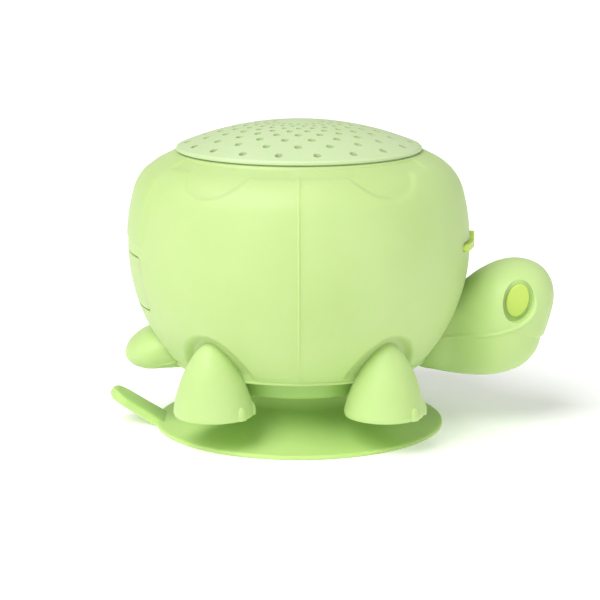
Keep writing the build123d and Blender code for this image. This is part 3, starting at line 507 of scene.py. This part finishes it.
head = stretched_ball("soft_head", HEAD_OUTLINE, HEAD_CENTRE, HEAD_HALF_W, HEAD_SQUARE, head_cuts)
points = points_of(head)
points[:, 1] *= 1 - NECK_TAKE_IN * soft_step(NECK_FROM - points[:, 0], 0, NECK_LENGTH)
move_points(head, points)
raise_ridge(head, HEAD_RIDGE, 0.5, 0.32, (1, 0.15))
NOSTRIL = ((61.9, 32.3), (62.2, 32.8))
raise_ridge(head, NOSTRIL, -0.35, 0.7, (1, 1))
print("head from", points.min(axis=0).round(1), "to", points.max(axis=0).round(1))

# %% Stretch the tail
TAIL_OUTLINE = (  # from the tip over the top, then back underneath
    (-43.9, 18.3), (-43.5, 20.1), (-41.5, 22.4), (-37.7, 24.5), (-33.0, 25.9), (-28.0, 26.2),
    (-26.0, 21.0), (-27.0, 16.0), (-31.0, 15.0), (-36.0, 14.7), (-40.0, 15.0), (-42.6, 16.2),
)
TAIL_RIDGE = ((-27.0, 18.7), (-29.4, 18.1), (-33.0, 17.1), (-36.6, 16.2), (-38.4, 15.6))
TAIL_CENTRE, TAIL_HALF_W, TAIL_SQUARE = (-34.5, 20.0), 11.2, 2.5
tail_cuts = 70
tail = stretched_ball("soft_tail", TAIL_OUTLINE, TAIL_CENTRE, TAIL_HALF_W, TAIL_SQUARE, tail_cuts)
raise_ridge(tail, TAIL_RIDGE, 0.4, 0.34, (1, 0.4))

# %% Cut the neck to the skin it lies against
SEAT = 0.8
core_outline = [(0.02, 12.0)] + flank_outline(SEAT, 30) + [(0.02, 67.0)]
core = spun("core", core_outline, 160)
tail_core = duplicate(core)
combine(head, core, "DIFFERENCE")
combine(tail, tail_core, "DIFFERENCE")
smooth(tail, 40)

# %% Eye sockets
EYE_X, EYE_Y, EYE_Z = 54.6, 11.7, 33.4
EYE_YAW, EYE_TILT, EYE_DEPTH = 11.0, 15.0, 2.4
EYE_HALF_W, EYE_HALF_H, CUTTER_HALF_DEEP = 4.0, 5.3, 4.0
for side in (-1, 1):
    bpy.ops.mesh.primitive_cylinder_add(vertices=96, radius=MM, depth=2 * MM)
    socket = named("socket")
    tilt = Matrix.Rotation(math.radians(-EYE_TILT), 4, "Z")
    stretch = Matrix.Diagonal((EYE_HALF_W, EYE_HALF_H, CUTTER_HALF_DEEP, 1))
    stand = Matrix.Rotation(math.radians(90), 4, "X")
    yaw = Matrix.Rotation(math.radians(EYE_YAW), 4, "Z")
    reach = Matrix.Translation(Vector((EYE_X, -EYE_Y - CUTTER_HALF_DEEP + EYE_DEPTH, EYE_Z)) * MM)
    socket.data.transform(reach @ yaw @ stand @ tilt @ stretch)
    if side > 0:
        socket.data.transform(Matrix.Diagonal((1, -1, 1, 1)))
        socket.data.flip_normals()
    combine(head, socket, "DIFFERENCE")
smooth(head, 38)
print("head", [round(value, 1) for value in points_of(head).max(axis=0)])

# %% [markdown]
# ## Suction cup and pull tab
# The cup is a thin bell: a flat rim that seals, and a wall that thickens towards the neck. The real cup
# flattens as the speaker is pressed down. The stud on its neck snaps into the base plate and goes down with
# the speaker, so it is a piece of its own. The pull tab grows out of the rim, so it starts buried in the
# rim, and the real tab bends where the two meet.

# %% Turn the cup
CUP_R, NECK_R, NECK_TOP = 36.4, 15.0, 12.1
WALL_OUT, WALL_IN, HOLLOW_R, HOLLOW_TOP = 36.1, 16.2, 33.8, 4.4
cup_wall = [(CUP_R, 0.25), (CUP_R, 0.85), (36.15, 1.05)]
for share in np.linspace(0.02, 1.0, 34):
    wall_r = WALL_OUT - share * (WALL_OUT - WALL_IN)
    wall_z = 1.08 + 5.6 * share**1.9 + 0.5 * share
    cup_wall.append((wall_r, wall_z))
cup_wall += [(15.5, 8.1), (15.1, 9.2), (NECK_R, 10.4), (NECK_R, NECK_TOP), (0.02, NECK_TOP)]
cup_under = [(0.02, HOLLOW_TOP)]
for share in np.linspace(0.1, 1.0, 18):
    cup_under.append((share * HOLLOW_R, HOLLOW_TOP * (1 - share**1.8)))
cup_under += [(34.2, 0.0), (WALL_OUT, 0.0)]
cup = spun("soft_suction_cup", cup_wall + cup_under, 200)
smooth(cup, 50)
STUD_OUTLINE = [
    (0.02, 11.4), (6.4, 11.4), (6.4, 16.6), (9.2, 16.6), (9.0, 17.4), (8.0, 18.4), (0.02, 18.4),
]
stud = spun("soft_cup_stud", STUD_OUTLINE, 72)
smooth(stud, 40)

# %% Grow the pull tab
TAB_ROOT = (-36.9, 1.6)
TAB_RISE, TAB_LENGTH, TAB_BURIED, TAB_HALF_W, TAB_THICK = 32.0, 12.6, 2.6, 5.0, 2.4
bpy.ops.mesh.primitive_cube_add(size=MM)
tab = named("soft_pull_tab")
pick(tab)
bpy.ops.object.mode_set(mode="EDIT")
bpy.ops.mesh.select_all(action="SELECT")
bpy.ops.mesh.subdivide(number_cuts=27)
bpy.ops.object.mode_set(mode="OBJECT")
unit = points_of(tab) * 2  # each side runs from -1 to 1
reach = (unit[:, 0] + 1) / 2
tip = np.clip((reach - 0.66) / 0.34, 0, 1)
half_w = TAB_HALF_W * np.sqrt(1 - 0.99 * tip**2) + 0.9 * (1 - reach) ** 4
edge = np.abs(unit[:, 1])
thick = TAB_THICK / 2 * (1 - 0.35 * soft_step(edge, 0.86, 1.0))
thick *= 1 - 0.35 * soft_step(reach, 0.93, 1.0)
along = reach * (TAB_LENGTH + TAB_BURIED) - TAB_BURIED
slope = math.radians(TAB_RISE)
placed = np.empty_like(unit)
placed[:, 0] = TAB_ROOT[0] - along * math.cos(slope) + unit[:, 2] * thick * math.sin(slope)
placed[:, 1] = unit[:, 1] * half_w
placed[:, 2] = TAB_ROOT[1] + along * math.sin(slope) + unit[:, 2] * thick * math.cos(slope)
placed[:, 2] = np.maximum(placed[:, 2], 0.05)
move_points(tab, placed)
pick(tab)
bpy.ops.object.mode_set(mode="EDIT")
bpy.ops.mesh.select_all(action="SELECT")
bpy.ops.mesh.normals_make_consistent(inside=False)
bpy.ops.object.mode_set(mode="OBJECT")
modify(tab, "SMOOTH", factor=0.5, iterations=1)
smooth(tab, 60)
print("tab from", points_of(tab).min(axis=0).round(1), "to", points_of(tab).max(axis=0).round(1))

# %% [markdown]
# ## Effects that several finishes share
# Moulded rubber and plastic are never one flat colour. Three small node groups hold what they share: a
# cloudy change of colour, a fine grain for bump and gloss, and a thin scatter of dust where the surface
# faces up. Each material places a group with its own values.

# %% Node groups


def new_group(name, inputs, outputs):
    """An empty shader node group with named sockets."""
    group = bpy.data.node_groups.new(name, "ShaderNodeTree")
    for label, kind, value in inputs:
        socket = group.interface.new_socket(label, in_out="INPUT", socket_type=kind)
        socket.default_value = value
    for label, kind in outputs:
        group.interface.new_socket(label, in_out="OUTPUT", socket_type=kind)
    return group, group.nodes.new("NodeGroupInput"), group.nodes.new("NodeGroupOutput")


def math_node(tree, operation, first, second):
    """A Math node fed by sockets or plain numbers."""
    node = tree.nodes.new("ShaderNodeMath")
    node.operation = operation
    for index, value in enumerate((first, second)):
        if isinstance(value, (int, float)):
            node.inputs[index].default_value = value
        else:
            tree.links.new(value, node.inputs[index])
    return node.outputs[0]


def noise_node(tree, scale, detail=3.0):
    """A Noise Texture on Object coordinates; scale is a socket or a number."""
    place = tree.nodes.new("ShaderNodeTexCoord")
    noise = tree.nodes.new("ShaderNodeTexNoise")
    noise.inputs["Detail"].default_value = detail
    tree.links.new(place.outputs["Object"], noise.inputs["Vector"])
    if isinstance(scale, (int, float)):
        noise.inputs["Scale"].default_value = scale
    else:
        tree.links.new(scale, noise.inputs["Scale"])
    return noise.outputs["Fac"]


COLOR, NUMBER = "NodeSocketColor", "NodeSocketFloat"
cloudy, ins, outs = new_group(
    "cloudy_colour",
    [("Light", COLOR, (1, 1, 1, 1)), ("Deep", COLOR, (0, 0, 0, 1)), ("Scale", NUMBER, 40.0)],
    [("Color", COLOR)],
)
mix = cloudy.nodes.new("ShaderNodeMix")
mix.data_type = "RGBA"
cloud = noise_node(cloudy, ins.outputs["Scale"])
contrast = math_node(cloudy, "MULTIPLY", math_node(cloudy, "SUBTRACT", cloud, 0.3), 1.8)
cloudy.links.new(contrast, mix.inputs["Factor"])
cloudy.links.new(ins.outputs["Light"], mix.inputs["A"])
cloudy.links.new(ins.outputs["Deep"], mix.inputs["B"])
cloudy.links.new(mix.outputs["Result"], outs.inputs["Color"])

grain, ins, outs = new_group(
    "fine_grain",
    [("Scale", NUMBER, 3000.0), ("Gloss", NUMBER, 0.5), ("Spread", NUMBER, 0.1)],
    [("Height", NUMBER), ("Roughness", NUMBER)],
)
fine = noise_node(grain, ins.outputs["Scale"], 2.0)
broad = noise_node(grain, 90.0, 4.0)
grain.links.new(fine, outs.inputs["Height"])
swing = math_node(grain, "MULTIPLY", math_node(grain, "SUBTRACT", broad, 0.5), ins.outputs["Spread"])
grain.links.new(math_node(grain, "ADD", ins.outputs["Gloss"], swing), outs.inputs["Roughness"])

dust, ins, outs = new_group(
    "settled_dust",
    [("Amount", NUMBER, 0.3), ("Scale", NUMBER, 900.0)],
    [("Mask", NUMBER)],
)
facing = dust.nodes.new("ShaderNodeNewGeometry")
split = dust.nodes.new("ShaderNodeSeparateXYZ")
dust.links.new(facing.outputs["Normal"], split.inputs[0])
specks = math_node(dust, "SUBTRACT", noise_node(dust, ins.outputs["Scale"], 1.0), 0.66)
specks = math_node(dust, "MULTIPLY", specks, 9.0)
upward_face = math_node(dust, "MAXIMUM", split.outputs["Z"], 0.0)
specks = math_node(dust, "MULTIPLY", math_node(dust, "MAXIMUM", specks, 0.0), upward_face)
dust.links.new(math_node(dust, "MULTIPLY", specks, ins.outputs["Amount"]), outs.inputs["Mask"])


# %% [markdown]
# ## Finishes
# One recipe makes every finish: cloudy colour, a little dust, grained gloss and a fine bump, all on one
# Principled shader. Silicone lets light in under its surface, so it also gets subsurface scattering, with
# a radius of a few millimetres. Metals and lacquers only change the shader's own plain values.

# %% The recipe
def linear(red, green, blue):
    """A colour given in 0 to 255, as the linear values that a shader wants."""
    values = [
        ((value / 255 + 0.055) / 1.055) ** 2.4 if value > 10 else value / 3294
        for value in (red, green, blue)
    ]
    return (*values, 1)


def place_group(tree, group, **values):
    """Place one of the shared groups in a material, with its own values."""
    node = tree.nodes.new("ShaderNodeGroup")
    node.node_tree = group
    for label, value in values.items():
        node.inputs[label].default_value = value
    return node


def make_finish(
    name, light, deep, cloud=40.0, gloss=0.5, spread=0.12, grain_scale=2500.0, bump=0.05, dusty=0.08, **plain
):
    """A Principled material with clouds, grain and dust; plain values go on the shader's own sockets."""
    material = bpy.data.materials.new(name)
    material.use_nodes = True
    tree = material.node_tree
    shader = tree.nodes["Principled BSDF"]
    colour = place_group(tree, cloudy, Light=linear(*light), Deep=linear(*deep), Scale=cloud)
    texture = place_group(tree, grain, Scale=grain_scale, Gloss=gloss, Spread=spread)
    settled = place_group(tree, dust, Amount=dusty)
    over = tree.nodes.new("ShaderNodeMix")
    over.data_type = "RGBA"
    over.inputs["B"].default_value = linear(236, 240, 226)
    tree.links.new(settled.outputs["Mask"], over.inputs["Factor"])
    tree.links.new(colour.outputs["Color"], over.inputs["A"])
    tree.links.new(over.outputs["Result"], shader.inputs["Base Color"])
    tree.links.new(texture.outputs["Roughness"], shader.inputs["Roughness"])
    raised = tree.nodes.new("ShaderNodeBump")
    raised.inputs["Strength"].default_value = bump
    raised.inputs["Distance"].default_value = 0.0002
    tree.links.new(texture.outputs["Height"], raised.inputs["Height"])
    tree.links.new(raised.outputs["Normal"], shader.inputs["Normal"])
    for label, value in plain.items():
        shader.inputs[label.replace("_", " ")].default_value = value
    return material


def make_silicone(name, light, deep, gloss=0.5, depth=0.004, **more):
    """Soft moulded silicone: light gets a few millimetres in before it comes out again."""
    return make_finish(
        name, light, deep, gloss=gloss, Subsurface_Weight=0.35, Subsurface_Scale=depth,
        Subsurface_Radius=(0.7, 1.0, 0.35), Sheen_Weight=0.08, Sheen_Roughness=0.4, **more,
    )


green_silicone = make_silicone("green_silicone", (196, 222, 148), (186, 214, 132), gloss=0.52)
cup_silicone = make_silicone("cup_silicone", (192, 222, 138), (182, 215, 122), gloss=0.5, depth=0.003)
lime_silicone = make_silicone("lime_silicone", (200, 225, 106), (192, 218, 92), gloss=0.45, depth=0.002)
grille_plastic = make_finish(
    "grille_plastic", (207, 227, 176), (199, 221, 166), gloss=0.42, bump=0.03, dusty=0.1,
    Subsurface_Weight=0.12, Subsurface_Scale=0.002,
)
FINISHES = {
    "green_silicone": green_silicone,
    "cup_silicone": cup_silicone,
    "lime_silicone": lime_silicone,
    "grille_plastic": grille_plastic,
    "base_plastic": make_finish("base_plastic", (186, 222, 132), (176, 214, 120), gloss=0.4),
    "housing_plastic": make_finish("housing_plastic", (198, 224, 160), (188, 216, 148), gloss=0.45),
    "mesh_cloth": make_finish(
        "mesh_cloth", (182, 216, 142), (158, 196, 116), cloud=2600.0, gloss=0.8, bump=0.4, grain_scale=5200.0
    ),
    "zinc_steel": make_finish(
        "zinc_steel", (176, 180, 186), (150, 154, 160), cloud=300.0, gloss=0.32, Metallic=1.0
    ),
    "ferrite": make_finish("ferrite", (52, 52, 56), (38, 38, 42), cloud=500.0, gloss=0.6, bump=0.2),
    "coil_copper": make_finish(
        "coil_copper", (196, 120, 70), (168, 96, 54), cloud=900.0, gloss=0.3, Metallic=1.0
    ),
    "cone_pulp": make_finish("cone_pulp", (44, 44, 46), (30, 30, 32), cloud=700.0, gloss=0.75, bump=0.3),
    "black_rubber": make_finish("black_rubber", (32, 32, 33), (22, 22, 23), gloss=0.55),
    "spider_cloth": make_finish(
        "spider_cloth", (196, 160, 96), (168, 132, 72), cloud=1800.0, gloss=0.7, bump=0.4
    ),
    "foam": make_finish("foam", (52, 52, 54), (34, 34, 36), cloud=2200.0, gloss=0.9, bump=0.6),
    "board_laminate": make_finish(
        "board_laminate", (22, 96, 52), (14, 78, 42), cloud=260.0, gloss=0.28, Coat_Weight=0.4
    ),
    "chip_black": make_finish("chip_black", (38, 38, 40), (26, 26, 28), cloud=800.0, gloss=0.5),
    "connector_white": make_finish(
        "connector_white", (228, 222, 204), (214, 208, 188), cloud=300.0, gloss=0.45
    ),
    "battery_wrap": make_finish(
        "battery_wrap", (186, 190, 196), (166, 170, 178), cloud=160.0, gloss=0.35, Metallic=0.6
    ),
    "wire_red_black": make_finish("wire_red_black", (172, 30, 26), (120, 16, 16), cloud=120.0, gloss=0.4),
}

# %% Give the engineering model's pieces their finishes
for part in frame["record"]["subparts"]:
    node = frame["nodes"][part["node"]]
    material = FINISHES[part["material_slot"]]
    if not node.material_slots:
        node.data.materials.append(material)
    for slot in node.material_slots:
        slot.material = material

# %% Give the new pieces theirs
finish(body_skin, "speaker", "green_silicone", green_silicone, "body_skin")
finish(head, "speaker", "green_silicone", green_silicone, "head")
finish(tail, "speaker", "green_silicone", green_silicone, "tail")
finish(cup, "suction_cup", "cup_silicone", cup_silicone, "suction_cup")
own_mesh(cup)
finish(stud, "speaker", "cup_silicone", cup_silicone)
tab.data.materials.clear()
tab.data.materials.append(cup_silicone)
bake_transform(tab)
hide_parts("pull_tab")

# %% [markdown]
# ## Stage, light and camera
# A product shot on white: a pale floor, a broad sun from over the left shoulder, a weaker one from the
# right, and a pale sky that fills the shadows. Suns light the whole floor evenly, so it stays white to the
# horizon. The standard view keeps the greens as saturated as they are. A long lens flattens perspective.

# %% Floor
bpy.ops.mesh.primitive_plane_add(size=30.0)
floor = named("floor")
floor_finish = make_finish(
    "floor_white", (250, 251, 249), (247, 248, 246), cloud=3.0, gloss=0.7, bump=0.0, dusty=0.0,
    Emission_Color=(1, 1, 1, 1), Emission_Strength=0.22,
)
floor.data.materials.append(floor_finish)

# %% Lights


def broad_sun(name, toward, strength, spread):
    """A sun that shines from the given direction, with soft shadows."""
    bpy.ops.object.light_add(type="SUN")
    light = named(name)
    light.data.energy = strength
    light.data.angle = math.radians(spread)
    light.rotation_euler = Vector(toward).to_track_quat("Z", "Y").to_euler()
    return light


broad_sun("key_sun", (-0.6, -0.7, 1.15), 2.5, 40)
broad_sun("fill_sun", (0.9, -0.5, 0.6), 0.4, 60)
world = bpy.data.worlds.new("pale_sky")
world.use_nodes = True
world.node_tree.nodes["Background"].inputs["Color"].default_value = (1, 1, 1, 1)
world.node_tree.nodes["Background"].inputs["Strength"].default_value = 0.4
bpy.context.scene.world = world
bpy.context.scene.view_settings.view_transform = "Standard"

# %% Camera
CAMERA_DISTANCE, CAMERA_RISE, LENS = 0.530, 11.8, 126.0
SHIFT = 1 / 600  # sideways, as a share of the frame's width
aim = Vector((0.0, 0, 0.0315))
rise_angle = math.radians(CAMERA_RISE)
bpy.ops.object.camera_add(
    location=aim + CAMERA_DISTANCE * Vector((0, -math.cos(rise_angle), math.sin(rise_angle))),
    rotation=(math.radians(90 - CAMERA_RISE), 0, 0),
)
camera = bpy.context.object
camera.data.lens = LENS
camera.data.sensor_width = 36.0
camera.data.shift_x = SHIFT
bpy.context.scene.camera = camera
